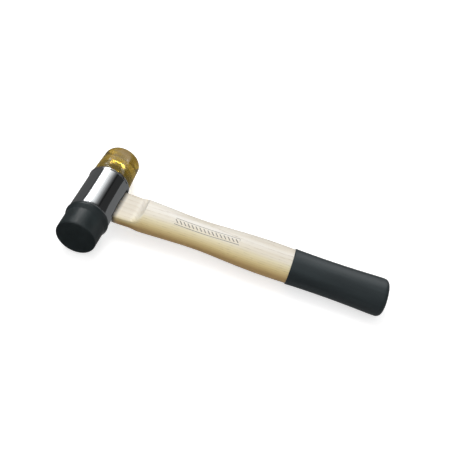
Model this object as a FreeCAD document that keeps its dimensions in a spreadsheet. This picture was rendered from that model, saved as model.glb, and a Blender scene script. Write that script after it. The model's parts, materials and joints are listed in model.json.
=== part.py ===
import FreeCAD, Part
import math
import os
import Sketcher

# Two-way soft-faced hammer with screwed-in faces, lying on its side.
# While it is drawn, X runs along the handle from the head to the grip, Y along the head from
# the rubber face to the plastic face, and the two axes cross at the zero point.
doc = FreeCAD.newDocument("soft_faced_hammer")
sheet = doc.addObject("Spreadsheet::Sheet", "Sizes")

# Every driving size, in millimetres
sizes = {
    # steel head
    "head_radius": 17.5,
    "head_length": 45.0,
    "head_edge_round": 0.6,
    "bead_height": 0.6,
    "bead_width": 2.2,
    "bead_slope": 0.7,
    "bead_round": 0.4,
    "eye_width": 23.0,
    "eye_height": 7.4,
    "bore_floor_gap": 0.5,
    "bore_mouth_chamfer": 0.9,
    # threaded studs
    "thread_radius": 5.0,
    "thread_pitch": 1.5,
    "thread_depth": 0.8,
    "thread_reach": 9.0,
    "thread_crest": 0.3,
    "stud_tip_chamfer": 0.9,
    "thread_clearance": 0.05,
    "mould_clearance": 0.03,
    # plastic face and the anchor of its stud
    "plastic_seat_radius": 17.3,
    "plastic_end_radius": 16.0,
    "plastic_length": 33.0,
    "plastic_end_round": 4.9,
    "plastic_seat_round": 0.4,
    "plastic_anchor_radius": 8.6,
    "plastic_anchor_depth": 10.5,
    "plastic_anchor_height": 6.0,
    # rubber face, its base collar and the anchor of its stud
    "rubber_seat_radius": 17.6,
    "collar_radius": 18.1,
    "collar_rise": 1.2,
    "collar_width": 1.6,
    "collar_fall": 4.0,
    "collar_round": 2.0,
    "rubber_body_radius": 16.8,
    "rubber_end_radius": 16.6,
    "rubber_length": 24.2,
    "rubber_end_round": 1.2,
    "rubber_anchor_radius": 10.5,
    "rubber_anchor_depth": 6.0,
    "rubber_anchor_height": 3.2,
    "anchor_round": 0.7,
    # ash handle
    "shoulder_gap": 0.2,
    "handle_reach": 246.8,
    "neck_width": 31.8,
    "hump_width": 30.9,
    "waist_width": 27.4,
    "palm_width": 31.8,
    "grip_width": 30.4,
    "butt_width": 32.7,
    "handle_end_round": 4.0,
    "neck_thickness": 7.8,
    "cheek_end": 41.5,
    "cheek_round": 10.0,
    "tenon_clearance": 0.1,
    "tenon_relief": 0.15,
    # dipped grip
    "grip_length": 80.8,
    "coat_thickness": 0.7,
    "coat_lip_round": 0.3,
    # wedges in the end of the tenon
    "wood_wedge_reach": 23.0,
    "wood_wedge_head": 2.4,
    "wood_wedge_tip": 0.6,
    "steel_wedge_reach": 14.0,
    "steel_wedge_head": 1.9,
    "steel_wedge_tip": 0.6,
    "steel_wedge_width": 5.2,
    "steel_wedge_spacing": 10.4,
    # how far a cutting shape runs past what it cuts
    "overrun": 5.0,
}
for row, (name, value) in enumerate(sizes.items(), start=1):
    sheet.set("A%d" % row, name)
    sheet.set("B%d" % row, str(value))
    sheet.setAlias("B%d" % row, name)
doc.recompute()

# The handle's section is an oval, this much thinner through the head's side than along the head
thickness_share = 0.83

# Places closer than this share of the head's radius are the same
match_share = 0.0005

# How often the tilt is corrected as the hammer is laid down
lay_down_steps = 4

# Ovals along the handle: place from shoulder to end, two named widths, and the blend between them
handle_shares = [
    (0.0, "neck_width", "neck_width", 0.0),
    (0.045, "neck_width", "hump_width", 0.45),
    (0.085, "neck_width", "hump_width", 1.0),
    (0.13, "hump_width", "waist_width", 0.25),
    (0.19, "hump_width", "waist_width", 0.6),
    (0.265, "waist_width", "waist_width", 0.0),
    (0.335, "waist_width", "waist_width", 0.0),
    (0.41, "waist_width", "palm_width", 0.42),
    (0.48, "waist_width", "palm_width", 0.82),
    (0.55, "waist_width", "palm_width", 1.0),
    (0.62, "palm_width", "grip_width", 0.15),
    (0.7, "palm_width", "grip_width", 0.9),
    (0.8, "grip_width", "grip_width", 0.0),
    (0.89, "grip_width", "butt_width", 0.4),
    (0.955, "grip_width", "butt_width", 0.9),
    (1.0, "grip_width", "butt_width", 1.0),
]


def size(expression):
    return float(sheet.evalExpression(expression))


def linked(expression):
    words = expression.replace("(", " ( ").replace(")", " ) ").split()
    return " ".join("Sizes." + word if word in sizes else word for word in words)


def bind(feature, properties):
    for name, expression in properties.items():
        feature.setExpression(name, linked(expression))


def plane_of(body, role):
    for feature in body.Origin.OriginFeatures:
        if feature.Role == role:
            return feature
    raise RuntimeError("no plane " + role)


def new_sketch(body, name, role):
    sketch = body.newObject("Sketcher::SketchObject", name)
    sketch.AttachmentSupport = [(plane_of(body, role), "")]
    sketch.MapMode = "FlatFace"
    return sketch


def outline(body, name, role, corners):
    """A closed outline of straight edges, with each corner held by two sizes from the zero point."""
    sketch = new_sketch(body, name, role)
    places = [FreeCAD.Vector(size(across), size(up), 0) for across, up in corners]
    count = len(places)
    for index, place in enumerate(places):
        sketch.addGeometry(Part.LineSegment(place, places[(index + 1) % count]), False)
    for index in range(count):
        following = (index + 1) % count
        sketch.addConstraint(Sketcher.Constraint("Coincident", index, 2, following, 1))
    for index, corner in enumerate(corners):
        for kind, expression, axis in zip(("DistanceX", "DistanceY"), corner, (-2, -1)):
            if expression == "0":
                sketch.addConstraint(Sketcher.Constraint("PointOnObject", index, 1, axis))
                continue
            held = Sketcher.Constraint(kind, -1, 1, index, 1, size(expression))
            number = sketch.addConstraint(held)
            sketch.setExpression("Constraints[%d]" % number, linked(expression))
    return sketch


def turned(body, name, corners):
    """A solid turned about the head's axis from an outline of radii and places along the axis."""
    sketch = outline(body, name + "_outline", "XY_Plane", corners)
    feature = body.newObject("PartDesign::Revolution", name)
    feature.Profile = sketch
    feature.ReferenceAxis = (sketch, ["V_Axis"])
    feature.Angle = 360
    sketch.Visibility = False
    doc.recompute()
    return feature


def rings(shape, radius, along):
    """The names of the round edges with this radius at this place along the head."""
    found = []
    near = size("head_radius") * match_share
    for number, edge in enumerate(shape.Edges, start=1):
        curve = edge.Curve
        if isinstance(curve, Part.Circle) and abs(curve.Radius - size(radius)) < near:
            if abs(curve.Center.y - size(along)) < near:
                found.append("Edge%d" % number)
    if not found:
        raise RuntimeError("no round edge of radius %s at %s" % (radius, along))
    return found


def rounded(body, name, radius, places):
    """Round the ring edges at the given radii and places along the head."""
    base = body.Tip
    names = [edge for place in places for edge in rings(base.Shape, *place)]
    feature = body.newObject("PartDesign::Fillet", name)
    feature.Base = (base, names)
    bind(feature, {"Radius": radius})
    doc.recompute()
    return feature


def sided(side, offset):
    """A place along the head, an offset out from the head's end on one side."""
    return "%d * ( head_length / 2 + %s )" % (side, offset)


def new_body(label):
    body = doc.addObject("PartDesign::Body", label)
    body.Label = label
    return body


def make_head():
    """Steel bar with a raised bead at the plastic end, an oval eye and a tapped bore in each end."""
    body = new_body("head_body")
    bore = "thread_radius + thread_clearance"
    mouth = bore + " + bore_mouth_chamfer"
    floor = "( 0 - thread_reach - bore_floor_gap )"
    corners = [
        ("0", sided(-1, floor)),
        (bore, sided(-1, floor)),
        (bore, sided(-1, "( 0 - bore_mouth_chamfer )")),
        (mouth, sided(-1, "0")),
        ("head_radius", sided(-1, "0")),
        ("head_radius", sided(1, "( 0 - bead_width )")),
        ("head_radius + bead_height", sided(1, "( bead_slope - bead_width )")),
        ("head_radius + bead_height", sided(1, "0")),
        (mouth, sided(1, "0")),
        (bore, sided(1, "( 0 - bore_mouth_chamfer )")),
        (bore, sided(1, floor)),
        ("0", sided(1, floor)),
    ]
    turned(body, "head_bar", corners)
    rounded(body, "head_ends", "head_edge_round", [("head_radius", sided(-1, "0"))])
    bead_edges = [
        ("head_radius", sided(1, "( 0 - bead_width )")),
        ("head_radius + bead_height", sided(1, "( bead_slope - bead_width )")),
        ("head_radius + bead_height", sided(1, "0")),
    ]
    rounded(body, "head_bead", "bead_round", bead_edges)
    sketch = new_sketch(body, "eye_outline", "YZ_Plane")
    wide = FreeCAD.Vector(size("eye_width / 2"), 0, 0)
    high = FreeCAD.Vector(0, size("eye_height / 2"), 0)
    sketch.addGeometry(Part.Ellipse(wide, high, FreeCAD.Vector(0, 0, 0)), False)
    sketch.exposeInternalGeometry(0)
    sketch.addConstraint(Sketcher.Constraint("Coincident", 0, 3, -1, 1))
    sketch.addConstraint(Sketcher.Constraint("Horizontal", 1))
    for line, expression in ((1, "eye_width"), (2, "eye_height")):
        number = sketch.addConstraint(Sketcher.Constraint("Distance", line, size(expression)))
        sketch.setExpression("Constraints[%d]" % number, linked(expression))
    doc.recompute()
    solid = body.Shape.Volume
    eye = body.newObject("PartDesign::Pocket", "eye")
    eye.Profile = sketch
    eye.Type = "ThroughAll"
    eye.Midplane = True
    sketch.Visibility = False
    doc.recompute()
    if not body.Shape.Volume < solid:
        raise RuntimeError("the eye cuts nothing")
    return body


def make_stud(label, side, anchor):
    """Threaded steel stud with a round anchor that is moulded into its face."""
    body = new_body(label)
    root = "thread_radius - thread_depth"
    tip = "( 0 - thread_reach )"
    corners = [
        ("0", sided(side, tip)),
        ("thread_radius - stud_tip_chamfer", sided(side, tip)),
        (root, sided(side, "( stud_tip_chamfer - thread_depth - thread_reach )")),
    ]
    first = "( stud_tip_chamfer - thread_depth - thread_reach )"
    count = int(size("( thread_reach - stud_tip_chamfer ) / thread_pitch"))
    for turn in range(count):
        rise = "( %s + ( %d + 0.5 ) * thread_pitch - thread_crest / 2 )" % (first, turn)
        fall = "( %s + ( %d + 0.5 ) * thread_pitch + thread_crest / 2 )" % (first, turn)
        foot = "( %s + ( %d + 1 ) * thread_pitch )" % (first, turn)
        corners.append(("thread_radius", sided(side, rise)))
        corners.append(("thread_radius", sided(side, fall)))
        corners.append((root, sided(side, foot)))
    corners += [
        (root, sided(side, anchor + "_depth")),
        (anchor + "_radius", sided(side, anchor + "_depth")),
        (anchor + "_radius", sided(side, "( %s_depth + %s_height )" % (anchor, anchor))),
        ("0", sided(side, "( %s_depth + %s_height )" % (anchor, anchor))),
    ]
    turned(body, label + "_bar", corners)
    anchor_edges = [
        (anchor + "_radius", sided(side, anchor + "_depth")),
        (anchor + "_radius", sided(side, "( %s_depth + %s_height )" % (anchor, anchor))),
    ]
    rounded(body, label + "_anchor", "anchor_round", anchor_edges)
    return body


def mould_corners(side, anchor):
    """The hollow that a stud leaves in the face moulded round it, from the axis to the seat."""
    shank = "thread_radius - thread_depth + mould_clearance"
    near = "( %s_depth - mould_clearance )" % anchor
    far = "( %s_depth + %s_height + mould_clearance )" % (anchor, anchor)
    return [
        ("0", sided(side, far)),
        (anchor + "_radius + mould_clearance", sided(side, far)),
        (anchor + "_radius + mould_clearance", sided(side, near)),
        (shank, sided(side, near)),
        (shank, sided(side, "0")),
    ]


def make_plastic_face():
    """Clear amber plastic face, tapered to a rounded striking end."""
    body = new_body("amber_face")
    corners = mould_corners(1, "plastic_anchor") + [
        ("plastic_seat_radius", sided(1, "0")),
        ("plastic_end_radius", sided(1, "plastic_length")),
        ("0", sided(1, "plastic_length")),
    ]
    turned(body, "amber_face_bar", corners)
    end_edge = [("plastic_end_radius", sided(1, "plastic_length"))]
    rounded(body, "amber_face_end", "plastic_end_round", end_edge)
    seat_edge = [("plastic_seat_radius", sided(1, "0"))]
    rounded(body, "amber_face_seat", "plastic_seat_round", seat_edge)
    return body


def make_rubber_face():
    """Black rubber face with a raised collar at its base and a flat striking end."""
    body = new_body("rubber_face")
    rise = "collar_rise"
    flat = "( collar_rise + collar_width )"
    fall = "( collar_rise + collar_width + collar_fall )"
    corners = mould_corners(-1, "rubber_anchor") + [
        ("rubber_seat_radius", sided(-1, "0")),
        ("collar_radius", sided(-1, rise)),
        ("collar_radius", sided(-1, flat)),
        ("rubber_body_radius", sided(-1, fall)),
        ("rubber_end_radius", sided(-1, "rubber_length")),
        ("0", sided(-1, "rubber_length")),
    ]
    turned(body, "rubber_face_bar", corners)
    collar_edges = [
        ("collar_radius", sided(-1, rise)),
        ("collar_radius", sided(-1, flat)),
        ("rubber_body_radius", sided(-1, fall)),
    ]
    rounded(body, "rubber_face_collar", "collar_round", collar_edges)
    end_edge = [("rubber_end_radius", sided(-1, "rubber_length"))]
    rounded(body, "rubber_face_end", "rubber_end_round", end_edge)
    return body


# An oval is drawn flat, and this turn stands it across the handle
across_handle = FreeCAD.Rotation(FreeCAD.Vector(1, 1, 1), 120)


def make_oval(name, place, wide, high):
    oval = doc.addObject("Part::Ellipse", name)
    oval.Placement = FreeCAD.Placement(FreeCAD.Vector(size(place), 0, 0), across_handle)
    bind(oval, {".Placement.Base.x": place, "MajorRadius": wide, "MinorRadius": high})
    return oval


def make_handle_loft(name, coat, end):
    """The handle's long shape, thicker all round by a coat, up to its end."""
    ovals = []
    shoulder = "( head_radius + shoulder_gap )"
    for number, (place_share, low, high, blend_share) in enumerate(handle_shares, start=1):
        place = "%s + ( %s - %s ) * %s" % (shoulder, end, shoulder, place_share)
        width = "( %s + ( %s - %s ) * %s )" % (low, high, low, blend_share)
        wide = "%s / 2 + %s" % (width, coat)
        thick = "%s / 2 * %s + %s" % (width, thickness_share, coat)
        ovals.append(make_oval("%s_oval_%d" % (name, number), place, wide, thick))
    loft = doc.addObject("Part::Loft", name)
    loft.Sections = ovals
    loft.Solid = True
    doc.recompute()
    return loft


def round_edges(name, base, radius, keep):
    """Round every edge of a shape that the keep function picks."""
    feature = doc.addObject("Part::Fillet", name)
    feature.Base = base
    edges = [number for number, edge in enumerate(base.Shape.Edges, start=1) if keep(edge)]
    if not edges:
        raise RuntimeError("no edge to round for " + name)
    feature.Edges = [(number, size(radius), size(radius)) for number in edges]
    doc.recompute()
    return feature


def lies_at(edge, place):
    near = size("head_radius") * match_share
    box = edge.BoundBox
    return abs(box.XMin - size(place)) < near and abs(box.XMax - size(place)) < near


def make_boolean(kind, name, base, tool):
    feature = doc.addObject("Part::" + kind, name)
    feature.Base = base
    feature.Tool = tool
    doc.recompute()
    return feature


def make_fuse(name, shapes):
    feature = doc.addObject("Part::MultiFuse", name)
    feature.Shapes = shapes
    doc.recompute()
    return feature


def make_neck_room():
    """The side view of the handle: a flat neck whose two cheeks end in a hollow round."""
    body = doc.addObject("PartDesign::Body", "neck_room")
    shoulder = "head_radius + shoulder_gap"
    low = "neck_thickness / 2"
    corners = [
        (shoulder, "0 - " + low),
        ("cheek_end", "0 - " + low),
        ("cheek_end", "0 - hump_width"),
        ("handle_reach + overrun", "0 - hump_width"),
        ("handle_reach + overrun", "hump_width"),
        ("cheek_end", "hump_width"),
        ("cheek_end", low),
        (shoulder, low),
    ]
    sketch = outline(body, "neck_room_outline", "XZ_Plane", corners)
    pad = body.newObject("PartDesign::Pad", "neck_room_pad")
    pad.Profile = sketch
    pad.Midplane = True
    bind(pad, {"Length": "2 * butt_width"})
    sketch.Visibility = False
    doc.recompute()
    hollow = body.newObject("PartDesign::Fillet", "cheek_hollow")
    hollow.Base = (pad, inner_edges(pad.Shape, "cheek_end", low))
    bind(hollow, {"Radius": "cheek_round"})
    doc.recompute()
    return body


def inner_edges(shape, place, height):
    """The names of the straight edges across the handle at this place, above and below its axis."""
    near = size("head_radius") * match_share
    found = []
    for number, edge in enumerate(shape.Edges, start=1):
        middle = edge.BoundBox.Center
        level = abs(abs(middle.z) - size(height)) < near
        if level and lies_at(edge, place) and edge.Length > size("butt_width"):
            found.append("Edge%d" % number)
    if len(found) != 2:
        raise RuntimeError("the neck has %d edges to hollow" % len(found))
    return found


def make_tenon():
    """The oval end of the handle that fills the eye, cut flush with the round of the head."""
    wide = "eye_width / 2 - tenon_clearance"
    high = "eye_height / 2 - tenon_clearance"
    pieces = []
    far = "head_radius + overrun"
    for name, start, length in (("tenon_front", "0 - %s" % far, far),
                                ("tenon_back", "0", "head_radius + shoulder_gap + overrun")):
        bar = doc.addObject("Part::Extrusion", name)
        bar.Base = make_oval(name + "_oval", start, wide, high)
        bar.DirMode = "Custom"
        bar.Dir = FreeCAD.Vector(1, 0, 0)
        bar.Solid = True
        bind(bar, {"LengthFwd": length})
        pieces.append(bar)
    flush = doc.addObject("Part::Cylinder", "flush_round")
    turn = FreeCAD.Rotation(FreeCAD.Vector(1, 0, 0), -90)
    flush.Placement = FreeCAD.Placement(FreeCAD.Vector(0, 0, 0), turn)
    bind(flush, {"Radius": "head_radius - tenon_relief", "Height": "2 * eye_width",
                 ".Placement.Base.y": "0 - eye_width"})
    doc.recompute()
    front = make_boolean("Common", "tenon_end", pieces[0], flush)
    return make_fuse("tenon", [front, pieces[1]]), flush


def make_wedge_block(name, role, reach, head, tip, width, centre):
    """A tapered block driven in from the far side of the head, before its head is cut flush."""
    body = doc.addObject("PartDesign::Body", name)
    inner = "%s - head_radius" % reach
    grow = "( %s - %s ) / 2 / %s * overrun" % (head, tip, reach)
    beyond = "0 - head_radius - overrun"
    corners = [
        (beyond, "%s + %s / 2 + %s" % (centre, head, grow)),
        (inner, "%s + %s / 2" % (centre, tip)),
        (inner, "%s - %s / 2" % (centre, tip)),
        (beyond, "%s - %s / 2 - %s" % (centre, head, grow)),
    ]
    sketch = outline(body, name + "_outline", role, corners)
    pad = body.newObject("PartDesign::Pad", name + "_pad")
    pad.Profile = sketch
    pad.Midplane = True
    bind(pad, {"Length": width})
    sketch.Visibility = False
    doc.recompute()
    return body


def make_wedges(tenon, flush):
    """One wooden wedge along the eye and two steel wedges driven across it."""
    wood = make_wedge_block("wood_wedge_block", "XZ_Plane", "wood_wedge_reach", "wood_wedge_head",
                            "wood_wedge_tip", "eye_width + overrun", "0")
    steels = []
    for number, centre in ((1, "( 0 - steel_wedge_spacing / 2 )"), (2, "( steel_wedge_spacing / 2 )")):
        block = make_wedge_block("steel_wedge_block_%d" % number, "XY_Plane", "steel_wedge_reach",
                                 "steel_wedge_head", "steel_wedge_tip", "steel_wedge_width", centre)
        steels.append(make_boolean("Common", "steel_wedge_%d" % number, block, flush))
    fitted = make_boolean("Common", "fitted_wood_wedge", wood, tenon)
    steel_room = make_fuse("steel_wedge_room", steels)
    wood_wedge = make_boolean("Cut", "wood_wedge", fitted, steel_room)
    steel_pair = doc.addObject("Part::Compound", "steel_wedges")
    steel_pair.Links = steels
    doc.recompute()
    return wood_wedge, steel_pair, make_fuse("wedge_room", [fitted, steel_room])


def make_handle():
    """Ash handle with a flat neck, a tenon through the eye, and the coat dipped on its end."""
    loft = make_handle_loft("handle_loft", "0", "handle_reach")
    wood = round_edges("handle_butt", loft, "handle_end_round", lambda e: lies_at(e, "handle_reach"))
    planed = make_boolean("Common", "handle_planed", wood, make_neck_room())
    tenon, flush = make_tenon()
    core = make_fuse("handle_core", [planed, tenon])
    wood_wedge, steel_pair, wedge_room = make_wedges(tenon, flush)
    handle = make_boolean("Cut", "handle", core, wedge_room)

    far_end = "( handle_reach + coat_thickness )"
    skin = make_handle_loft("coat_loft", "coat_thickness", far_end)
    end_round = "handle_end_round + coat_thickness"
    skin = round_edges("coat_butt", skin, end_round, lambda e: lies_at(e, far_end))
    room = doc.addObject("Part::Box", "coat_room")
    bind(room, {"Length": "grip_length + overrun", "Width": "2 * butt_width",
                "Height": "2 * butt_width", ".Placement.Base.x": far_end + " - grip_length",
                ".Placement.Base.y": "0 - butt_width", ".Placement.Base.z": "0 - butt_width"})
    doc.recompute()
    start = far_end + " - grip_length"
    skin = make_boolean("Common", "coat_length", skin, room)
    skin = round_edges("coat_lip", skin, "coat_lip_round", lambda e: lies_at(e, start))
    grip = make_boolean("Cut", "grip", skin, wood)
    return handle, wood_wedge, steel_pair, grip


def lowest(node):
    return node.Shape.optimalBoundingBox(False, False).ZMin


def lay_down(nodes, collar, butt):
    """Turn the hammer until its collar and the butt of its grip lie level, then set it down."""
    tilt = 0.0
    for _ in range(lay_down_steps):
        turn = FreeCAD.Rotation(FreeCAD.Vector(0, 1, 0), tilt)
        for node in (collar, butt):
            node.Placement = FreeCAD.Placement(FreeCAD.Vector(0, 0, 0), turn)
        tilt += math.degrees((lowest(butt) - lowest(collar)) / size("handle_reach"))
    turn = FreeCAD.Rotation(FreeCAD.Vector(0, 1, 0), tilt)
    box = FreeCAD.BoundBox()
    for node in nodes:
        node.Placement = FreeCAD.Placement(FreeCAD.Vector(0, 0, 0), turn)
        box.add(node.Shape.optimalBoundingBox(False, False))
    shift = FreeCAD.Vector(-box.Center.x, -box.Center.y, -box.ZMin)
    for node in nodes:
        node.Placement = FreeCAD.Placement(shift, turn)
    doc.recompute()
    return shift, tilt


def main():
    head = make_head()
    plastic_stud = make_stud("amber_stud", 1, "plastic_anchor")
    rubber_stud = make_stud("rubber_stud", -1, "rubber_anchor")
    plastic_face = make_plastic_face()
    rubber_face = make_rubber_face()
    handle, wood_wedge, steel_pair, grip = make_handle()
    nodes = [head, plastic_face, plastic_stud, rubber_face, rubber_stud,
             handle, grip, wood_wedge, steel_pair]
    shift, tilt = lay_down(nodes, rubber_face, grip)

    for feature in doc.Objects:
        if "Invalid" in feature.State or "Error" in feature.State:
            raise RuntimeError("%s is %s" % (feature.Label, feature.State))
    for node in nodes:
        if node.Shape.isNull() or not node.Shape.isValid():
            raise RuntimeError("%s has no valid shape" % node.Label)

    os.makedirs("parts", exist_ok=True)
    for node in nodes:
        node.Shape.exportStep("parts/%s.step" % node.Label)
        box = node.Shape.optimalBoundingBox(False, False)
        print("%-14s %d solid(s) %9.1f mm3  x %.1f..%.1f  y %.1f..%.1f  z %.1f..%.1f"
              % (node.Label, len(node.Shape.Solids), node.Shape.Volume, box.XMin, box.XMax,
                 box.YMin, box.YMax, box.ZMin, box.ZMax))
    print("crossing of the axes at %.4f %.4f %.4f, tilt %.4f degrees"
          % (shift.x, shift.y, shift.z, tilt))


main()
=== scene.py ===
import json
import math

import bmesh
import bpy
from mathutils import Matrix, Vector


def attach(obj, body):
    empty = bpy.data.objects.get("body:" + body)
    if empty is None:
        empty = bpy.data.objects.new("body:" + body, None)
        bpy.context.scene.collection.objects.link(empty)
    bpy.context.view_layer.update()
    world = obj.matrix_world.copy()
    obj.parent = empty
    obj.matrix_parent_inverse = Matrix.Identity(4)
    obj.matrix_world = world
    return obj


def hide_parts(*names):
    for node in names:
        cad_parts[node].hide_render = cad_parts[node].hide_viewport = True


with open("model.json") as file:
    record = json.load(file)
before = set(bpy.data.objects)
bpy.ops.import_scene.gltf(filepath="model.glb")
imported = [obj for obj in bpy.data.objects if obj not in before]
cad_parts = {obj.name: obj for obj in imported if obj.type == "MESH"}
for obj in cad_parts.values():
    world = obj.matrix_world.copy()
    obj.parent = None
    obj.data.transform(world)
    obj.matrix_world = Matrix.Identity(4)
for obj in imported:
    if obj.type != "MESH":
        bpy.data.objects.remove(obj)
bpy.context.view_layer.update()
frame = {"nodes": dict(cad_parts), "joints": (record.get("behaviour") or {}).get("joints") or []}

# Two-way soft-faced hammer lying on its side. Every piece is drawn upright in millimetres about
# the point where its two axes cross, X along the handle and Y along the head, then laid down
scene = bpy.context.scene
joints = {joint["name"]: joint for joint in frame["joints"]}
mm = 0.001
tiny = 0.001    # less than any radius or sine that matters here

head = {
    "radius": 17.5, "length": 45.0, "edgeRound": 0.6,
    "beadHeight": 0.6, "beadWidth": 2.2, "beadSlope": 0.7, "beadRound": 0.4,
    "eyeWidth": 23.0, "eyeHeight": 7.4, "eyeLip": 0.5, "lipBends": (30, 60, 90),
    "boreRadius": 5.05, "boreDepth": 9.5, "boreMouth": 0.9, "segments": 192,
    # the patch of skin that is drawn round each mouth of the eye
    "windowColumns": 14, "windowRows": 18, "windowReach": 13.5, "windowRings": 6,
}
halfHead = head["length"] / 2

laid = {"tilt": 0.8941}     # degrees that the handle's end drops as the hammer lies
seat = Vector(joints["amber_unscrew"]["pos_m"])
crossing = seat - Vector((0, halfHead * mm, 0))
layDown = (
    Matrix.Translation(crossing)
    @ Matrix.Rotation(math.radians(laid["tilt"]), 4, "Y")
    @ Matrix.Scale(mm, 4)
)


def linear(hexColour):
    parts = [int(hexColour[i:i + 2], 16) / 255 for i in (1, 3, 5)]
    return [p / 12.92 if p <= 0.04045 else ((p + 0.055) / 1.055) ** 2.4 for p in parts] + [1.0]


def join(tree, node, links):
    # each named socket takes an output, or the first output of a node
    for name, source in links.items():
        output = source.outputs[0] if isinstance(source, bpy.types.Node) else source
        tree.links.new(output, node.inputs[name])


def addNode(tree, kind, settings=None, links=None):
    # settings go to a colour ramp's stops, to the node's sockets or to its own choices
    node = tree.nodes.new(kind)
    for name, value in (settings or {}).items():
        if name == "stops":
            band = node.color_ramp.elements
            while len(band) < len(value):
                band.new(0.5)
            for element, (place, tone) in zip(band, value):
                element.position = place
                element.color = linear(tone) if isinstance(tone, str) else (tone, tone, tone, 1)
        elif isinstance(name, int) or name in node.inputs:
            node.inputs[name].default_value = value
        else:
            setattr(node, name, value)
    join(tree, node, links or {})
    return node


def newMaterial(name):
    material = bpy.data.materials.new(name)
    material.use_nodes = True
    tree = material.node_tree
    tree.nodes.clear()
    shader = addNode(tree, "ShaderNodeBsdfPrincipled")
    addNode(tree, "ShaderNodeOutputMaterial", None, {"Surface": shader})
    where = addNode(tree, "ShaderNodeTexCoord")
    # the upright drawing's own millimetres, so that patterns are sized in them
    drawn = addNode(tree, "ShaderNodeMapping", {
        "vector_type": "TEXTURE", "Location": crossing,
        "Rotation": (0, math.radians(laid["tilt"]), 0), "Scale": (mm, mm, mm),
    }, {"Vector": where.outputs["Object"]})
    return material, tree, shader, drawn


# Chromed steel, turned, polished and plated: a near mirror with the faintest haze of hairlines
chrome = {
    "colour": "#c9ccce", "roughness": (0.045, 0.11), "haze": 9.0,
    "hairline": 0.5, "hairlineRun": 0.02, "bump": 0.05, "bumpDepth": 0.02,
}


def makeChrome():
    material, tree, shader, drawn = newMaterial("chromed_steel_polished")
    shader.inputs["Base Color"].default_value = linear(chrome["colour"])
    shader.inputs["Metallic"].default_value = 1.0
    haze = addNode(tree, "ShaderNodeTexNoise", {"Scale": 1 / chrome["haze"], "Detail": 3.0},
                   {"Vector": drawn})
    # turning marks run round the head, so the pattern is drawn fine along Y only
    fine = 1 / chrome["hairline"]
    long = fine * chrome["hairlineRun"]
    around = addNode(tree, "ShaderNodeMapping", {"Scale": (long, fine, long)}, {"Vector": drawn})
    hairlines = addNode(tree, "ShaderNodeTexNoise", {"Scale": 1.0, "Detail": 2.0},
                        {"Vector": around})
    streaks = addNode(tree, "ShaderNodeMath", {"operation": "MULTIPLY"},
                      {0: haze, 1: hairlines})
    low, high = chrome["roughness"]
    rough = addNode(tree, "ShaderNodeMapRange",
                    {"From Max": 0.5, "To Min": low, "To Max": high}, {"Value": streaks})
    bump = addNode(tree, "ShaderNodeBump",
                   {"Strength": chrome["bump"], "Distance": chrome["bumpDepth"] * mm},
                   {"Height": hairlines})
    join(tree, shader, {"Roughness": rough, "Normal": bump})
    return material


# Turned mild steel, left bright: grey, with fine rings about the stud's axis
plainSteel = {
    "colour": "#b4b4b1", "darker": "#9c9c98", "roughness": (0.16, 0.24),
    "grit": 0.35, "gritRun": 0.1,
}


def makePlainSteel():
    material, tree, shader, drawn = newMaterial("mild_steel_turned")
    shader.inputs["Metallic"].default_value = 1.0
    fine = 1 / plainSteel["grit"]
    long = fine * plainSteel["gritRun"]
    around = addNode(tree, "ShaderNodeMapping", {"Scale": (long, fine, long)}, {"Vector": drawn})
    marks = addNode(tree, "ShaderNodeTexNoise", {"Scale": 1.0, "Detail": 3.0}, {"Vector": around})
    tone = addNode(tree, "ShaderNodeValToRGB", {
        "stops": ((0.3, plainSteel["darker"]), (0.7, plainSteel["colour"])),
    }, {"Fac": marks})
    low, high = plainSteel["roughness"]
    rough = addNode(tree, "ShaderNodeMapRange", {"To Min": low, "To Max": high}, {"Value": marks})
    join(tree, shader, {"Base Color": tone, "Roughness": rough})
    return material


# Cellulose acetate, cast and turned: amber, clear enough to show the steel inside it, with a
# little cloudiness and fine handling marks on its skin
amber = {
    "colour": "#9c8434", "deep": "#8e7628", "clear": 0.64, "ior": 1.48,
    "roughness": (0.03, 0.12), "cloud": 14.0, "marksPerMm": 1.2,
}


def makeAmber():
    material, tree, shader, drawn = newMaterial("cellulose_acetate_cast")
    shader.inputs["IOR"].default_value = amber["ior"]
    shader.inputs["Transmission Weight"].default_value = amber["clear"]
    cloud = addNode(tree, "ShaderNodeTexNoise", {
        "Scale": 1 / amber["cloud"], "Detail": 4.0, "Distortion": 0.6,
    }, {"Vector": drawn})
    tone = addNode(tree, "ShaderNodeValToRGB", {
        "stops": ((0.35, amber["deep"]), (0.65, amber["colour"])),
    }, {"Fac": cloud})
    marks = addNode(tree, "ShaderNodeTexNoise", {"Scale": amber["marksPerMm"], "Detail": 5.0},
                    {"Vector": drawn})
    low, high = amber["roughness"]
    rough = addNode(tree, "ShaderNodeMapRange", {
        "From Min": 0.4, "From Max": 0.75, "To Min": low, "To Max": high,
    }, {"Value": marks})
    join(tree, shader, {"Base Color": tone, "Roughness": rough})
    return material


# Moulded rubber: near black with a soft sheen, fine pitting and faint grey scuffs
rubber = {
    "colour": "#1b2426", "scuff": "#242e30", "roughness": (0.4, 0.52), "gloss": 0.6,
    "patch": 6.25, "pit": 0.45, "bump": 0.35, "bumpDepth": 0.05,
}


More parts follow.
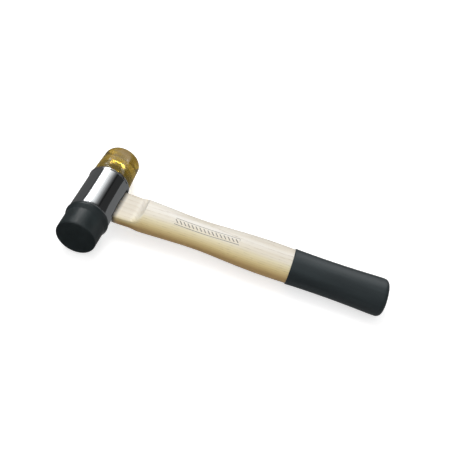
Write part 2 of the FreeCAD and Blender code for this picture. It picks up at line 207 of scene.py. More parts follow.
def makeRubber():
    material, tree, shader, drawn = newMaterial("natural_rubber_moulded")
    shader.inputs["Specular IOR Level"].default_value = rubber["gloss"]
    pits = addNode(tree, "ShaderNodeTexNoise", {"Scale": 1 / rubber["pit"], "Detail": 3.0},
                   {"Vector": drawn})
    patches = addNode(tree, "ShaderNodeTexNoise", {
        "Scale": 1 / rubber["patch"], "Detail": 5.0, "Roughness": 0.6,
    }, {"Vector": drawn})
    tone = addNode(tree, "ShaderNodeValToRGB", {
        "stops": ((0.45, rubber["colour"]), (0.75, rubber["scuff"])),
    }, {"Fac": patches})
    low, high = rubber["roughness"]
    rough = addNode(tree, "ShaderNodeMapRange", {
        "From Min": 0.3, "From Max": 0.7, "To Min": low, "To Max": high,
    }, {"Value": patches})
    bump = addNode(tree, "ShaderNodeBump",
                   {"Strength": rubber["bump"], "Distance": rubber["bumpDepth"] * mm},
                   {"Height": pits})
    join(tree, shader, {"Base Color": tone, "Roughness": rough, "Normal": bump})
    return material


# Plasticised vinyl, dipped: a slate coat with a low sheen, soft runs along it and a fine
# orange peel
vinyl = {
    "colour": "#242c2f", "lighter": "#2c3538", "roughness": (0.36, 0.5),
    "runLength": 50.0, "runWidth": 4.0, "peel": 1.6, "bump": 0.25, "bumpDepth": 0.06,
}


def makeVinyl():
    material, tree, shader, drawn = newMaterial("soft_vinyl_dipped")
    long, fine = 1 / vinyl["runLength"], 1 / vinyl["runWidth"]
    along = addNode(tree, "ShaderNodeMapping", {"Scale": (long, fine, fine)}, {"Vector": drawn})
    runs = addNode(tree, "ShaderNodeTexNoise", {"Scale": 1.0, "Detail": 3.0}, {"Vector": along})
    tone = addNode(tree, "ShaderNodeValToRGB", {
        "stops": ((0.35, vinyl["colour"]), (0.7, vinyl["lighter"])),
    }, {"Fac": runs})
    low, high = vinyl["roughness"]
    rough = addNode(tree, "ShaderNodeMapRange", {"To Min": low, "To Max": high}, {"Value": runs})
    peel = addNode(tree, "ShaderNodeTexNoise", {"Scale": 1 / vinyl["peel"], "Detail": 2.0},
                   {"Vector": drawn})
    bump = addNode(tree, "ShaderNodeBump",
                   {"Strength": vinyl["bump"], "Distance": vinyl["bumpDepth"] * mm},
                   {"Height": peel})
    join(tree, shader, {"Base Color": tone, "Roughness": rough, "Normal": bump})
    return material


handle = {
    "shoulder": 17.7, "end": 246.8, "endRound": 4.0, "thickness": 0.83,
    "cheek": 3.9, "cheekEnd": 41.5, "cheekRound": 10.0, "neckCrease": 2.0, "crease": 0.6,
    "tenonWide": 11.4, "tenonHigh": 3.6, "tenonFront": 17.3,
    # how finely it is drawn: around, along the barrel and along the neck
    "segments": 144, "coarse": 2.2, "fine": 1.2, "sharp": 35,
}


# White ash, sawn, sanded and varnished: pale cream on its upper face and tanner down its sides,
# which is partly its own colour and partly painted shade, long grain lines where each year's open
# pores lie, and a thin gloss over them
ash = {
    # tones from underside to top: the wood's own tan and cream, with painted shade making the low
    # ones darker
    "toneAndShadeByHeight": ((-6.5, "#bf9c64"), (-4.0, "#d9bc7e"), (-0.4, "#edd89e"), (4.3, "#f5eac6"),
              (7.0, "#f7f1e2"), (10.6, "#f4f0e8")),     # by height, in millimetres
    "toneLean": 24.0, "neckStretch": 3.2,
    "drift": "#f6f2ea", "driftLength": 125.0, "driftWidth": 9.09,
    "neck": "#e6e2da", "neckFrom": 30.0, "neckTo": 42.0,
    # the painted shadow's colour, where it is full and where it has faded out
    "headShadow": "#3c372e", "headShadowFrom": 17.8, "headShadowTo": 22.0,
    "line": "#b79f72", "lineShare": 0.16, "ringSpacing": 3.4, "ringLean": 0.35, "ringRun": 0.03,
    "pore": "#8d7448", "poreShare": 0.6, "poreLength": 7.0, "poreWidth": 0.3,
    "roughness": 0.45, "varnish": 0.35, "varnishRoughness": 0.25, "bump": 0.3, "bumpDepth": 0.05,
}
# A plain printed border along the handle: two rules and slanted dashes
border = {
    "colour": "#4a4038", "inkShare": 0.8, "from": 67.0, "to": 122.0, "middle": -4.3, "half": 2.7,
    "rule": 0.42, "dashPitch": 3.4, "dashWidth": 1.0, "dashHalf": 1.45, "slant": 0.9,
}


def borderMask(tree, drawn):
    # 1 where the border is printed, on the upper side of the handle only
    axes = addNode(tree, "ShaderNodeSeparateXYZ", None, {"Vector": drawn})
    known = {axis: axes.outputs[axis] for axis in "XYZ"}
    sums = (
        ("offset", "SUBTRACT", "Y", border["middle"]),
        ("across", "ABSOLUTE", "offset", 0.0),
        ("pastRule", "SUBTRACT", "across", border["half"]),
        ("fromRule", "ABSOLUTE", "pastRule", 0.0),
        ("rules", "LESS_THAN", "fromRule", border["rule"] / 2),
        ("slide", "MULTIPLY", "offset", border["slant"]),
        ("leaning", "ADD", "X", "slide"),
        ("dashes", "DIVIDE", "leaning", border["dashPitch"]),
        ("dashShare", "FRACT", "dashes", 0.0),
        ("place", "MULTIPLY", "dashShare", border["dashPitch"]),
        ("onDash", "LESS_THAN", "place", border["dashWidth"]),
        ("inBand", "LESS_THAN", "across", border["dashHalf"]),
        ("dash", "MULTIPLY", "onDash", "inBand"),
        ("started", "GREATER_THAN", "X", border["from"]),
        ("unended", "LESS_THAN", "X", border["to"]),
        ("inside", "MULTIPLY", "started", "unended"),
        ("either", "MAXIMUM", "rules", "dash"),
        ("printed", "MULTIPLY", "either", "inside"),
        ("upper", "GREATER_THAN", "Z", 0.0),
        ("mask", "MULTIPLY", "printed", "upper"),
    )
    for name, operation, *values in sums:
        settings, links = {"operation": operation}, {}
        for socket, value in enumerate(values):
            if value in known:
                links[socket] = known[value]
            else:
                settings[socket] = value
        known[name] = addNode(tree, "ShaderNodeMath", settings, links)
    return known["mask"]


def woodToneAndShade(tree, axes):
    # the wood's colour, with painted shade in it, goes by height: pale on top, tanner and darker
    # down the sides, measured on a line that leans a little along the head, towards the light
    lowest, highest = ash["toneAndShadeByHeight"][0][0], ash["toneAndShadeByHeight"][-1][0]
    lean = math.radians(ash["toneLean"])
    # the thin neck's flats get the same pale top tone as the barrel's top, painted light included,
    # so heights are stretched there
    stretch = addNode(tree, "ShaderNodeMapRange", {
        "From Min": handle["cheekEnd"] - handle["cheekRound"], "From Max": handle["cheekEnd"],
        "To Min": ash["neckStretch"], "To Max": 1.0,
    }, {"Value": axes["X"]})
    height = addNode(tree, "ShaderNodeMath", {"operation": "MULTIPLY"}, {0: axes["Z"], 1: stretch})
    aside = addNode(tree, "ShaderNodeMath", {"operation": "MULTIPLY", 1: math.tan(lean)},
                    {0: axes["Y"]})
    upright = addNode(tree, "ShaderNodeMath", {"operation": "ADD"}, {0: height, 1: aside})
    leant = addNode(tree, "ShaderNodeMath", {"operation": "MULTIPLY", 1: math.cos(lean)},
                    {0: upright})
    level = addNode(tree, "ShaderNodeMapRange", {"From Min": lowest, "From Max": highest},
                    {"Value": leant})
    stops = [((z - lowest) / (highest - lowest), tone) for z, tone in ash["toneAndShadeByHeight"]]
    return addNode(tree, "ShaderNodeValToRGB", {"stops": stops}, {"Fac": level})


def makeAsh():
    material, tree, shader, drawn = newMaterial("white_ash_varnished")
    axes = addNode(tree, "ShaderNodeSeparateXYZ", None, {"Vector": drawn}).outputs
    long, fine = 1 / ash["driftLength"], 1 / ash["driftWidth"]
    along = addNode(tree, "ShaderNodeMapping", {"Scale": (long, fine, fine)}, {"Vector": drawn})
    drift = addNode(tree, "ShaderNodeTexNoise", {"Scale": 1.0, "Detail": 2.0}, {"Vector": along})
    drifting = addNode(tree, "ShaderNodeValToRGB", {
        "stops": ((0.3, ash["drift"]), (0.6, "#ffffff")),
    }, {"Fac": drift})
    leaning = addNode(tree, "ShaderNodeMapping", {
        "Scale": (ash["ringRun"], 1, 1), "Rotation": (ash["ringLean"], 0, 0),
    }, {"Vector": drawn})
    grained = addNode(tree, "ShaderNodeTexWave", {
        "bands_direction": "Z", "wave_profile": "SAW",
        "Scale": math.pi / 10 / ash["ringSpacing"] * 2,
        "Distortion": 1.4, "Detail": 2.0, "Detail Scale": 0.6,
    }, {"Vector": leaning})
    rings = addNode(tree, "ShaderNodeValToRGB", {
        "stops": ((0.0, 0.0), (0.55, 0.12), (0.86, 0.75), (1.0, 0.0)),
    }, {"Fac": grained.outputs["Fac"]})
    long, fine = 1 / ash["poreLength"], 1 / ash["poreWidth"]
    porous = addNode(tree, "ShaderNodeMapping", {"Scale": (long, fine, fine)}, {"Vector": drawn})
    pores = addNode(tree, "ShaderNodeTexNoise", {"Scale": 1.0, "Detail": 1.0}, {"Vector": porous})
    opened = addNode(tree, "ShaderNodeValToRGB", {"stops": ((0.58, 0.0), (0.68, 1.0))},
                     {"Fac": pores})
    # open pores lie on the ring lines only
    openPores = addNode(tree, "ShaderNodeMath", {"operation": "MULTIPLY"}, {0: opened, 1: rings})
    # the neck is tinted darker than the turned wood, fully below neckFrom and fading out by neckTo
    neckTint = addNode(tree, "ShaderNodeMapRange", {
        "interpolation_type": "SMOOTHSTEP", "From Min": ash["neckTo"], "From Max": ash["neckFrom"],
    }, {"Value": axes["X"]})
    # painted shadow of the head on the wood beside it: darkest where the wood meets the head,
    # fading along the handle, on the handle's side only
    shadowFade = addNode(tree, "ShaderNodeMapRange", {
        "interpolation_type": "SMOOTHSTEP",
        "From Min": ash["headShadowTo"], "From Max": ash["headShadowFrom"],
    }, {"Value": axes["X"]})
    outside = addNode(tree, "ShaderNodeMath", {"operation": "GREATER_THAN", 1: 0.0},
                      {0: axes["X"]})
    shadowShare = addNode(tree, "ShaderNodeMath", {"operation": "MULTIPLY"}, {0: shadowFade, 1: outside})
    lines = addNode(tree, "ShaderNodeMath", {"operation": "MULTIPLY", 1: ash["lineShare"]},
                    {0: rings})
    dots = addNode(tree, "ShaderNodeMath", {"operation": "MULTIPLY", 1: ash["poreShare"]},
                   {0: openPores})
    ink = addNode(tree, "ShaderNodeMath", {"operation": "MULTIPLY", 1: border["inkShare"]},
                  {0: borderMask(tree, drawn)})
    colour = addNode(tree, "ShaderNodeMix", {
        "data_type": "RGBA", "blend_type": "MULTIPLY", 0: 1.0,
    }, {6: woodToneAndShade(tree, axes), 7: drifting}).outputs[2]
    # what is laid over that, from the wood outwards
    layers = (("MULTIPLY", neckTint, ash["neck"]), ("MIX", shadowShare, ash["headShadow"]),
              ("MIX", lines, ash["line"]), ("MIX", dots, ash["pore"]),
              ("MIX", ink, border["colour"]))
    for blend, share, laidOn in layers:
        colour = addNode(tree, "ShaderNodeMix", {
            "data_type": "RGBA", "blend_type": blend, 7: linear(laidOn),
        }, {0: share, 6: colour}).outputs[2]
    shader.inputs["Roughness"].default_value = ash["roughness"]
    shader.inputs["Coat Weight"].default_value = ash["varnish"]
    shader.inputs["Coat Roughness"].default_value = ash["varnishRoughness"]
    bump = addNode(tree, "ShaderNodeBump", {
        "Strength": ash["bump"], "Distance": ash["bumpDepth"] * mm, "invert": True,
    }, {"Height": openPores})
    join(tree, shader, {"Base Color": colour, "Normal": bump})
    return material


materials = {
    "chromed_steel": makeChrome(),
    "plain_steel": makePlainSteel(),
    "amber_plastic": makeAmber(),
    "black_rubber": makeRubber(),
    "dipped_coat": makeVinyl(),
    "ash_wood": makeAsh(),
}
print("materials made:", len(materials))


def finishPiece(name, shape, body, slot, node, sharp=32):
    # the upright drawing becomes a laid piece that rides on its body in place of its node, with
    # its edges left sharp above so many degrees
    bmesh.ops.recalc_face_normals(shape, faces=shape.faces)
    shape.transform(layDown)
    mesh = bpy.data.meshes.new(name)
    shape.to_mesh(mesh)
    shape.free()
    mesh.shade_smooth()
    mesh.set_sharp_from_angle(angle=math.radians(sharp))
    mesh.materials.append(materials[slot])
    piece = bpy.data.objects.new(name, mesh)
    scene.collection.objects.link(piece)
    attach(piece, body)
    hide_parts(node)
    print("made", name, "with", len(mesh.polygons), "faces")
    return piece


def roundCorners(corners, steps=5):
    # each corner is (radius, along) or (radius, along, round), and a round one becomes an arc
    points = []
    for index, corner in enumerate(corners):
        here = Vector(corner[:2])
        if len(corner) < 3:
            points.append(here)
            continue
        before = (Vector(corners[index - 1][:2]) - here).normalized()
        after = (Vector(corners[(index + 1) % len(corners)][:2]) - here).normalized()
        half = before.angle(after) / 2
        centre = here + (before + after).normalized() * corner[2] / math.sin(half)
        reach = corner[2] / math.tan(half)
        start, end = here + before * reach - centre, here + after * reach - centre
        first = math.atan2(start.y, start.x)
        sweep = (math.atan2(end.y, end.x) - first + math.pi) % math.tau - math.pi
        for step in range(steps + 1):
            turn = first + sweep * step / steps
            points.append(centre + corner[2] * Vector((math.cos(turn), math.sin(turn))))
    return points


def ring(shape, radius, along, segments):
    if radius < tiny:
        return [shape.verts.new((0, along, 0))]
    turns = [math.tau * k / segments for k in range(segments)]
    return [shape.verts.new((radius * math.sin(t), along, radius * math.cos(t))) for t in turns]


def bridge(shape, lower, upper, skip=()):
    # faces between two rings, either of which may be a single point on the axis
    count = max(len(lower), len(upper))
    for k in range(count):
        if k in skip:
            continue
        corners = [lower[k % len(lower)], lower[(k + 1) % len(lower)],
                   upper[(k + 1) % len(upper)], upper[k % len(upper)]]
        shape.faces.new(list(dict.fromkeys(corners)))


def turned(corners, segments, steps=6):
    shape = bmesh.new()
    rings = [ring(shape, point.x, point.y, segments) for point in roundCorners(corners, steps)]
    for lower, upper in zip(rings, rings[1:]):
        bridge(shape, lower, upper)
    return shape


def makeHead():
    shape = bmesh.new()
    radius, segments = head["radius"], head["segments"]
    bead = radius + head["beadHeight"]
    mouth = head["boreRadius"] + head["boreMouth"]
    inner = halfHead - head["boreMouth"]
    floor = halfHead - head["boreDepth"]
    shoulder = halfHead - head["beadWidth"]
    near = roundCorners([(0, -floor), (head["boreRadius"], -floor),
                         (head["boreRadius"], -inner), (mouth, -halfHead),
                         (radius, -halfHead, head["edgeRound"]), (radius, 0)])
    far = roundCorners([(radius, 0), (radius, shoulder, head["beadRound"]),
                        (bead, shoulder + head["beadSlope"], head["beadRound"]),
                        (bead, halfHead, head["beadRound"]), (mouth, halfHead),
                        (head["boreRadius"], inner), (head["boreRadius"], floor), (0, floor)])
    rows = head["windowRows"]
    reach = head["windowReach"]
    window = [Vector((radius, reach * (2 * row / rows - 1))) for row in range(rows + 1)]
    path = near[:-1] + window + far[1:]
    rings = [ring(shape, point.x, point.y, segments) for point in path]
    firstRow = len(near) - 1
    quarter = segments // 4
    columns = head["windowColumns"]
    gap = {k % segments for side in (1, -1) for k in
           range(side * quarter - columns, side * quarter + columns)}
    for index, (lower, upper) in enumerate(zip(rings, rings[1:])):
        inWindow = firstRow <= index < firstRow + rows
        bridge(shape, lower, upper, gap if inWindow else ())
    # round each oval mouth of the eye, rings run from the window's straight edge to the lip
    walk = ([(column, 0) for column in range(-columns, columns)]
            + [(columns, row) for row in range(rows)]
            + [(column, rows) for column in range(columns, -columns, -1)]
            + [(-columns, row) for row in range(rows, 0, -1)])
    lip = head["eyeLip"]
    wide, high = head["eyeWidth"] / 2, head["eyeHeight"] / 2
    step = math.tau / segments
    mouths = []
    for side in (1, -1):
        loops = [[rings[firstRow + row][side * (quarter - column) % segments]
                  for column, row in walk]]
        edge = []
        for column, row in walk:
            across = reach * (2 * row / rows - 1)
            turn = math.atan2(across / reach, column / columns)
            edge.append((column * step * radius, across, turn))
        for number in range(1, head["windowRings"] + 1):
            share = number / head["windowRings"]
            made = []
            for arc, across, turn in edge:
                lipArc = radius * math.asin((high + lip) * math.cos(turn) / radius)
                lipAcross = (wide + lip) * math.sin(turn)
                angle = (arc + (lipArc - arc) * share) / radius
                place = (side * radius * math.cos(angle), across + (lipAcross - across) * share,
                         radius * math.sin(angle))
                made.append(shape.verts.new(place))
            loops.append(made)
        for bend in head["lipBends"]:
            out = lip * (1 - math.sin(math.radians(bend)))
            deep = lip * (1 - math.cos(math.radians(bend)))
            made = []
            for arc, across, turn in edge:
                up = (high + out) * math.cos(turn)
                place = (side * (math.sqrt(radius ** 2 - up ** 2) - deep),
                         (wide + out) * math.sin(turn), up)
                made.append(shape.verts.new(place))
            loops.append(made)
        for lower, upper in zip(loops, loops[1:]):
            bridge(shape, lower, upper)
        mouths.append(loops[-1])
    bridge(shape, *mouths)
    return finishPiece("head_tube", shape, "hammer", "chromed_steel", "head_body")


makeHead()

studSpec = {
    "radius": 5.0, "pitch": 1.5, "depth": 0.8, "reach": 9.0, "tip": 0.9, "crestShare": 0.2,
    "segments": 48, "rowsPerTurn": 10, "anchorRound": 0.7, "sharp": 50,
}
amberAnchor = {"radius": 8.6, "depth": 10.5, "height": 6.0}
rubberAnchor = {"radius": 10.5, "depth": 6.0, "height": 3.2}
skin = 0.02     # how far a moulded face laps over its steel, so that no air lies between them


def threadRadius(along, turn):
    # a vee thread whose ridge climbs one pitch in each turn
    share = (along / studSpec["pitch"] - turn / math.tau) % 1
    height = min(1, (1 - abs(2 * share - 1)) / (1 - studSpec["crestShare"]))
    return studSpec["radius"] - studSpec["depth"] * (1 - height)


def makeStud(name, side, anchor, body, node):
    shape = bmesh.new()
    segments = studSpec["segments"]
    root = studSpec["radius"] - studSpec["depth"]
    count = int(studSpec["reach"] / studSpec["pitch"] * studSpec["rowsPerTurn"])
    rings = [[shape.verts.new((0, side * (halfHead - studSpec["reach"]), 0))]]
    for row in range(count + 1):
        offset = -studSpec["reach"] * (1 - row / count)
        along = side * (halfHead + offset)
        fromTip = offset + studSpec["reach"]
        limit = studSpec["radius"] - studSpec["tip"] + fromTip
        fade = min(1, -offset / studSpec["pitch"])
        made = []
        for k in range(segments):
            turn = math.tau * k / segments
            radius = min(limit, root + (threadRadius(along, turn) - root) * fade)
            made.append(shape.verts.new((radius * math.sin(turn), along,
                                         radius * math.cos(turn))))
        rings.append(made)
    near = halfHead + anchor["depth"]
    far = near + anchor["height"]
    bend = studSpec["anchorRound"]
    anchorCorners = [(root, side * near), (anchor["radius"], side * near, bend),
                     (anchor["radius"], side * far, bend), (0, side * far)]
    rings += [ring(shape, p.x, p.y, segments) for p in roundCorners(anchorCorners)]
    for lower, upper in zip(rings, rings[1:]):
        bridge(shape, lower, upper)
    return finishPiece(name, shape, body, "plain_steel", node, studSpec["sharp"])


makeStud("amber_stud_screw", 1, amberAnchor, "amber_thread", "amber_stud")
makeStud("rubber_stud_screw", -1, rubberAnchor, "rubber_thread", "rubber_stud")


def mouldedHollow(side, anchor):
    # the room round the stud, from the axis out to the seat
    root = studSpec["radius"] - studSpec["depth"] - skin
    near = halfHead + anchor["depth"] + skin
    far = halfHead + anchor["depth"] + anchor["height"] - skin
    rim = anchor["radius"] - skin
    bend = studSpec["anchorRound"]
    return [(0, side * far), (rim, side * far, bend), (rim, side * near, bend),
            (root, side * near), (root, side * halfHead)]


amberFace = {"seat": 17.3, "end": 16.0, "length": 33.0, "endRound": 4.9, "seatRound": 0.4,
             "segments": 192, "roundSteps": 10}


def makeAmberFace():
    far = halfHead + amberFace["length"]
    corners = mouldedHollow(1, amberAnchor) + [
        (amberFace["seat"], halfHead, amberFace["seatRound"]),
        (amberFace["end"], far, amberFace["endRound"]),
        (0, far),
    ]
    shape = turned(corners, amberFace["segments"], amberFace["roundSteps"])
    return finishPiece("amber_plug", shape, "amber_cap", "amber_plastic", "amber_face")


rubberFace = {
    "seat": 17.6, "collar": 18.1, "rise": 1.2, "width": 1.6, "fall": 4.0, "collarRound": 2.0,
    "body": 16.8, "end": 16.6, "length": 24.2, "endRound": 1.2, "segments": 160, "sharp": 40,
}


def makeRubberFace():
    spec = rubberFace
    flat = halfHead + spec["rise"] + spec["width"]
    far = halfHead + spec["length"]
    corners = mouldedHollow(-1, rubberAnchor) + [
        (spec["seat"], -halfHead),
        (spec["collar"], -halfHead - spec["rise"], spec["collarRound"]),
        (spec["collar"], -flat, spec["collarRound"]),
        (spec["body"], -flat - spec["fall"], spec["collarRound"]),
        (spec["end"], -far, spec["endRound"]),
        (0, -far),
    ]
    shape = turned(corners, spec["segments"])
    return finishPiece("rubber_plug", shape, "rubber_cap", "black_rubber", "rubber_face",
                       spec["sharp"])


makeAmberFace()
makeRubberFace()

# full widths from the shoulder to the end, each at its share of that length
handleWidths = [
    (0.0, 31.8), (0.045, 31.4), (0.085, 30.9), (0.13, 30.03), (0.19, 28.8), (0.265, 27.4),
    (0.335, 27.4), (0.41, 29.25), (0.48, 31.0), (0.55, 31.8), (0.62, 31.6), (0.7, 30.54),
    (0.8, 30.4), (0.89, 31.32), (0.955, 32.47), (1.0, 32.7),
]
grip = {"coat": 0.7, "length": 80.8, "lipRound": 0.3, "lipBends": (0, 30, 60), "sharp": 40}


def widthAt(share):
    # a smooth curve through the listed widths
    table = handleWidths
    share = min(max(share, 0.0), 1.0)
    spot = max(i for i in range(len(table) - 1) if table[i][0] <= share)

    def slope(index):
        low, high = max(index - 1, 0), min(index + 1, len(table) - 1)
        return (table[high][1] - table[low][1]) / (table[high][0] - table[low][0])

    (start, first), (stop, last) = table[spot], table[spot + 1]
    span = stop - start
    t = (share - start) / span
    return ((2 * t ** 3 - 3 * t ** 2 + 1) * first
            + (t ** 3 - 2 * t ** 2 + t) * span * slope(spot)
            + (3 * t ** 2 - 2 * t ** 3) * last
            + (t ** 3 - t ** 2) * span * slope(spot + 1))


def ovalRadius(wide, high, turn):
    return 1 / math.hypot(math.cos(turn) / wide, math.sin(turn) / high)


def cheekLimit(x):
    # half the thickness left between the two cheeks, which end in a hollow round; past it there
    # is no limit
    start = handle["cheekEnd"] - handle["cheekRound"]
    if x > handle["cheekEnd"]:
        return handle["end"]
    rise = math.sqrt(max(handle["cheekRound"] ** 2 - max(x - start, 0) ** 2, 0))
    return handle["cheek"] + handle["cheekRound"] - rise


def barrelRadius(x, turn, end, coat=0.0, inset=0.0):
    width = widthAt((x - handle["shoulder"]) / (end - handle["shoulder"]))
    oval = ovalRadius(width / 2 + coat - inset,
                      width / 2 * handle["thickness"] + coat - inset, turn)
    flat = cheekLimit(x) / max(abs(math.sin(turn)), tiny)
    # the neck's long edges are eased more than the ridge where the hollow meets the barrel
    fade = min(max((x - handle["cheekEnd"]) / handle["cheekRound"] + 1, 0), 1)
    crease = handle["neckCrease"] + (handle["crease"] - handle["neckCrease"]) * fade
    soft = max(crease - abs(oval - flat), 0) / crease
    return min(oval, flat) - soft ** 2 * crease / 4


def tenonRadius(turn):
    return ovalRadius(handle["tenonWide"], handle["tenonHigh"], turn)


def spread(start, stop, step):
    count = max(1, round((stop - start) / step))
    return [start + (stop - start) * k / count for k in range(count + 1)]


def roundedEnd(end, bend, steps=8):
    # stations over a rounded end: (place, how far the section has drawn in)
    turns = [math.radians(90 * k / steps) for k in range(steps + 1)]
    return [(end - bend * (1 - math.sin(t)), bend * (1 - math.cos(t))) for t in turns]


def handleTurns():
    return [math.tau * k / handle["segments"] for k in range(handle["segments"])]


def section(shape, x, radii):
    return [shape.verts.new((x, r * math.cos(t), r * math.sin(t)))
            for r, t in zip(radii, handleTurns())]


def closeEnd(shape, loop, centre, bend=None, steps=6):
    # shrink a loop to its middle, on a flat or, with bend, on the head's own round
    middle = Vector(centre)
    previous = loop
    for step in range(1, steps):
        made = []
        for vert in loop:
            place = vert.co.lerp(middle, step / steps)
            if bend:
                place.x = -math.sqrt(bend ** 2 - place.z ** 2)
            made.append(shape.verts.new(place))
        bridge(shape, previous, made)
        previous = made
    bridge(shape, previous, [shape.verts.new(middle)])


def makeHandle():
    shape = bmesh.new()
    turns = handleTurns()
    shoulder, end = handle["shoulder"], handle["end"]
    hollow = handle["cheekEnd"] - handle["cheekRound"]
    tenon = [tenonRadius(t) for t in turns]
    front = section(shape, 0, tenon)
    for vert in front:
        vert.co.x = -math.sqrt(handle["tenonFront"] ** 2 - vert.co.z ** 2)
    closeEnd(shape, front, (-handle["tenonFront"], 0, 0), handle["tenonFront"])
    loops = [front, section(shape, shoulder - handle["fine"], tenon),
             section(shape, shoulder, tenon)]
    places = spread(shoulder, hollow, handle["fine"])
    places += [hollow + handle["cheekRound"] * math.sin(math.radians(bend))
               for bend in range(4, 91, 3)]
    places += spread(handle["cheekEnd"], end - handle["endRound"], handle["coarse"])[1:-1]
    loops += [section(shape, x, [barrelRadius(x, t, end) for t in turns]) for x in places]
    for x, inset in roundedEnd(end, handle["endRound"]):
        loops.append(section(shape, x, [barrelRadius(x, t, end, 0, inset) for t in turns]))
    for lower, upper in zip(loops, loops[1:]):
        bridge(shape, lower, upper)
    closeEnd(shape, loops[-1], (end, 0, 0))
    shaft = finishPiece("handle_shaft", shape, "hammer", "ash_wood", "handle", handle["sharp"])
    # the chrome beside the neck stays an even grey, with no wood mirrored in it
    shaft.visible_glossy = False
    return shaft


def makeGrip():
    shape = bmesh.new()
    turns = handleTurns()
    coat = grip["coat"]
    end = handle["end"] + coat
    start = end - grip["length"]
    wood = handle["end"]
    lip = grip["lipRound"]
    stations = spread(start + lip, end - handle["endRound"] - coat, handle["coarse"])[:-1]
    stations = [(x, 0.0) for x in stations] + roundedEnd(end, handle["endRound"] + coat)
    lipStations = [(start + lip * (1 - math.cos(bend)), lip * (1 - math.sin(bend)))
                   for bend in map(math.radians, grip["lipBends"])]
    outer = [section(shape, x, [barrelRadius(x, t, end, coat, inset) for t in turns])
             for x, inset in lipStations + stations]
    closeEnd(shape, outer[-1], (end, 0, 0))
    inside = [(x, 0.0) for x in spread(start, wood - handle["endRound"], handle["coarse"])[:-1]]
    inner = [section(shape, x, [barrelRadius(x, t, wood, 0, inset) for t in turns])
             for x, inset in inside + roundedEnd(wood, handle["endRound"])]
    closeEnd(shape, inner[-1], (wood, 0, 0))
    for loops in (outer, inner, (outer[0], inner[0])):
        for lower, upper in zip(loops, loops[1:]):
            bridge(shape, lower, upper)
    return finishPiece("grip_coat", shape, "hammer", "dipped_coat", "grip", grip["sharp"])


makeHandle()
makeGrip()

for nodeName, slotName in (("wood_wedge", "ash_wood"), ("steel_wedges", "plain_steel")):
    for place in frame["nodes"][nodeName].material_slots:
        place.material = materials[slotName]
    print("dressed", nodeName)

# The camera stands where the photograph was taken from, given about the crossing of the axes
view = {
    "aim": (105.04, 18.8, -0.1), "distance": 562.34, "azimuth": 4.712, "elevation": 45.094,
    "roll": 15.02, "lens": 53.695, "sensor": 36.0, "clip": (0.01, 100.0),
}


def makeCamera():
    aim = crossing + Vector(view["aim"]) * mm
    around, up = math.radians(view["azimuth"]), math.radians(view["elevation"])
    back = Vector((math.sin(around) * math.cos(up), -math.cos(around) * math.cos(up),
                   math.sin(up)))
    data = bpy.data.cameras.new("camera")
    data.lens = view["lens"]
    data.sensor_width = view["sensor"]
    data.clip_start, data.clip_end = view["clip"]
    camera = bpy.data.objects.new("camera", data)
    scene.collection.objects.link(camera)
    camera.matrix_world = (
        Matrix.Translation(aim + back * view["distance"] * mm)
        @ (-back).to_track_quat("-Z", "Y").to_matrix().to_4x4()
        @ Matrix.Rotation(math.radians(view["roll"]), 4, "Z")
    )
    scene.camera = camera
    print("camera set")


makeCamera()

# The studio, in millimetres about the crossing: two broad lamps overhead, a pale floor, soft
# boxes seen only in what shines, and grey cards round them that give the chrome its dark bands
studio = {
    "keyAt": (-200.0, 330.0, 830.0), "keySize": (0.7, 0.7), "keyPower": 5.2,
    "fillAt": (200.0, -450.0, 800.0), "fillSize": (1.2, 1.2), "fillPower": 2.0,
    "worldFill": 0.42, "floorColour": "#e4e4e4", "floorLift": 0.62, "floorHalf": 30.0,
}
# Each box's face fans out from the head's axis on a plane across it, from one distance to
# another: angles from straight up, with the share of its glow at each. side is 1 behind the head
# and -1 before it, and inside is for a box that only the steel within the amber sees
softBoxPlane = 477.0
softBoxes = {
    # crisp at its left edge and fading at its right one: the chrome's main band
    "soft_box_face": {
        "side": 1, "inside": False, "glow": 8.0, "from": 484.0, "to": 760.0,
        "fan": ((-56, 0.0), (-50, 0.02), (-46, 0.09), (-40, 1.0), (-16, 1.0), (-11, 0.22),
                (0, 0.15), (10, 0.08), (20, 0.03), (31, 0.005), (38, 0.0)),
    },
    # the glint on the anchor in the amber
    "soft_box_inner_face": {
        "side": 1, "inside": True, "glow": 110.0, "from": 380.0, "to": 760.0,
        "fan": ((-66, 1.0), (56, 1.0)),
    },
    # a dimmer band on the chrome for the views from behind
    "soft_box_opposite": {
        "side": -1, "inside": False, "glow": 1.8, "from": 60.0, "to": 1200.0,
        "fan": ((-75, 0.06), (-46, 0.1), (-42, 1.0), (-20, 1.0), (-12, 0.15), (10, 0.06),
                (60, 0.05)),
    },
}
roomFront, roomSide, roomBack, roomTop, roomFloor = -800.0, 1600.0, 478.0, 1300.0, -18.0
